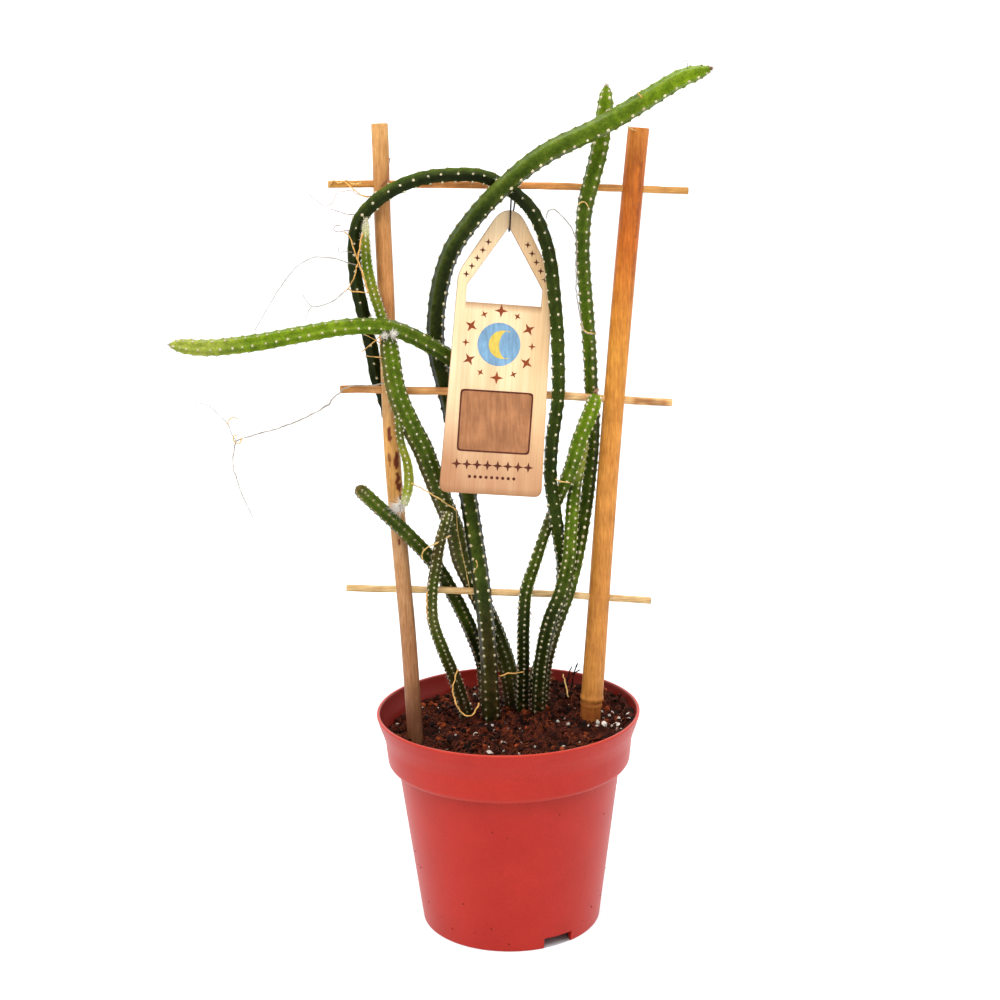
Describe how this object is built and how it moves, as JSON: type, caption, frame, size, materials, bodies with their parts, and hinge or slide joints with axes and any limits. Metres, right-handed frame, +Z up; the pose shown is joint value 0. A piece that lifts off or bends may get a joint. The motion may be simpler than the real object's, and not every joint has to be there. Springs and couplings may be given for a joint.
{
  "type": "potted queen of the night cactus",
  "caption": "Climbing cactus with slender ribbed stems on a bamboo trellis, in a filled plastic grower pot, with a bare wooden tag on a wire.",
  "frame": {"origin": "centre of the flat pad under the pot, on the surface that the pot stands on", "axes": "+Z up, +X along the trellis to the right, +Y to the back of the plant"},
  "size_m": [0.2258, 0.12, 0.3844],
  "materials": {
    "pot": "satin",
    "soil": "matte",
    "bamboo_pale": "satin",
    "bamboo": "satin",
    "tag_wood": "matte",
    "wire": "satin",
    "stem": "satin",
    "stem_dark": "satin",
    "stem_young": "satin"
  },
  "bodies": {
    "root": {"pot": "pot", "soil": "soil", "stake_left": "bamboo_pale", "stake_right": "bamboo", "rung_top": "bamboo", "rung_middle": "bamboo", "rung_bottom": "bamboo", "tag": "tag_wood", "tag_wire": "wire", "stem_front": "stem", "stem_left_tall": "stem", "stem_left_slim": "stem", "stem_left_low": "stem_dark", "stem_arch": "stem_dark", "stem_right_tall": "stem", "stem_right_inner": "stem_young", "stem_right_short": "stem"}
  },
  "joints": []
}
